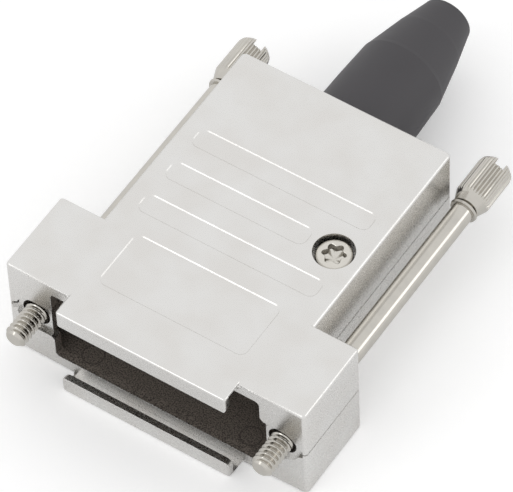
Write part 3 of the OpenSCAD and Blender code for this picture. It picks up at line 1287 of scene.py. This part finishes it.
@dataclass
class SmallParts:
    """Rings, screws, clamp and bend relief.

    All keep their own solids, apart from the screw that shows on the top.
    """

    frame: dict

    def dress(self) -> None:
        """Gives each node its finish."""
        plated = TurnedMetal("zinc_plated_screw_steel", "#dcd9d2", (0.19, 0.27)).make()
        # the recess walls of the screw head get a dark colour as painted shade
        shaded = TurnedMetal("painted_shade_of_the_recess", "#5d5951", (0.42, 0.5)).make()
        spring = TurnedMetal("phosphated_spring_steel", "#6a6966", (0.37, 0.45)).make()
        rubber = MouldedRubber().make()
        finishes = {
            "retaining_ring_left": spring,
            "retaining_ring_right": spring,
            "assembly_screw_left": plated,
            "cable_clamp": plated,
            "clamp_screw_left": plated,
            "clamp_screw_right": plated,
            "bend_relief": rubber,
        }
        for name, material in finishes.items():
            dress(self.frame["nodes"][name], material)
            LOG.info("dressed %s", name)
        HoodScrew().build(plated, shaded)


# ---- studio ----


def way_to(azimuth_deg: float, elevation_deg: float) -> Vector:
    """Gives the direction of something that stands round the part.

    Args:
        azimuth_deg: Angle from the front, -Y, to the right, +X.
        elevation_deg: Angle above the floor.

    Returns:
        A direction of length 1.
    """
    a, e = math.radians(azimuth_deg), math.radians(elevation_deg)
    return Vector((math.sin(a) * math.cos(e), -math.cos(a) * math.cos(e), math.sin(e)))


@dataclass(frozen=True)
class Softbox:
    """Square lamp that faces the part. level is its brightness at any size."""

    name: str
    azimuth_deg: float
    elevation_deg: float
    distance: float
    size: float
    level: float

    def build(self, target: Vector) -> None:
        """Adds the lamp.

        Args:
            target: Point that it faces, in metres.
        """
        data = bpy.data.lights.new(self.name, "AREA")
        data.shape = "SQUARE"
        data.size = self.size
        data.energy = self.level * math.pi * math.pi * self.size * self.size
        lamp = add_object(self.name, data)
        back = way_to(self.azimuth_deg, self.elevation_deg)
        lamp.location = target + back * self.distance
        lamp.rotation_mode = "QUATERNION"
        lamp.rotation_quaternion = (-back).to_track_quat("-Z", "Y")


@dataclass
class Studio:
    """Pale floor, soft light and a long-lens camera above the front right.

    surround is the strength of the white round it, as light on the part and as
    seen or mirrored. distance, reach and clip are in metres.
    """

    azimuth_deg: float = 35.74
    elevation_deg: float = 53.04
    roll_deg: float = 2.93
    distance: float = 0.595
    lens_mm: float = 365.4
    sensor_mm: float = 36.0
    clip: Pair = (0.05, 10.0)
    aim: Triple = (-0.68, -7.24, 7.5)
    reach: float = 4.0
    surround: Pair = (0.9, 1.0)
    lamp_aim_z: float = 7.5
    lamps: tuple[Softbox, ...] = (
        Softbox("front_box", -25.0, 31.0, 0.9, 0.3, 0.6),
        Softbox("right_box", 118.0, 24.0, 0.9, 0.3, 0.35),
    )

    def camera(self) -> None:
        """Adds the camera and makes it the scene's own."""
        data = bpy.data.cameras.new("camera")
        data.sensor_width = self.sensor_mm
        data.lens = self.lens_mm
        data.clip_start, data.clip_end = self.clip
        made = add_object("camera", data)
        back = way_to(self.azimuth_deg, self.elevation_deg)
        made.location = Vector(self.aim) * MM + back * self.distance
        made.rotation_mode = "QUATERNION"
        turn = (-back).to_track_quat("-Z", "Y")
        roll = Matrix.Rotation(math.radians(-self.roll_deg), 3, "Z").to_quaternion()
        made.rotation_quaternion = turn @ roll
        bpy.context.scene.camera = made

    def floor(self) -> None:
        """Adds the floor as a wide sheet under the part."""
        mesh = bpy.data.meshes.new("floor")
        far = self.reach
        corners = [(-far, -far, 0), (far, -far, 0), (far, far, 0), (-far, far, 0)]
        mesh.from_pydata(corners, [], [(0, 1, 2, 3)])
        made = add_object("floor", mesh)
        dress(made, PaleFloor().make())

    def world(self) -> None:
        """Makes a soft white surround."""
        world = bpy.data.worlds.new("soft_white")
        bpy.context.scene.world = world
        world.use_nodes = True
        tree = world.node_tree
        tree.nodes.clear()
        rays = add_node(tree, "ShaderNodeLightPath").outputs
        seen = math_node(tree, "MAXIMUM", rays["Is Camera Ray"], rays["Is Glossy Ray"])
        seen = math_node(tree, "MAXIMUM", seen, rays["Is Transmission Ray"])
        strength = remap(tree, seen, (0.0, 1.0), self.surround)
        inputs = {"Color": (1.0, 1.0, 1.0, 1.0), "Strength": strength}
        glow = add_node(tree, "ShaderNodeBackground", None, inputs)
        add_node(tree, "ShaderNodeOutputWorld", None, {"Surface": glow.outputs[0]})

    def build(self) -> None:
        """Builds the whole studio."""
        self.camera()
        self.floor()
        self.world()
        target = Vector((0.0, 0.0, self.lamp_aim_z * MM))
        for lamp in self.lamps:
            lamp.build(target)
        bpy.context.scene.view_settings.view_transform = "Standard"


def main() -> None:
    """Builds every part in order and lights it."""
    logging.basicConfig(level=logging.INFO, format="%(name)s: %(message)s")
    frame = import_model()
    Studio().build()
    Shells(frame).build()
    nickel = TurnedMetal("bright_nickel_on_turned_steel").make()
    for side in Side:
        Jackscrew(side).build(nickel)
    SmallParts(frame).dress()


if __name__ == "__main__":
    main()
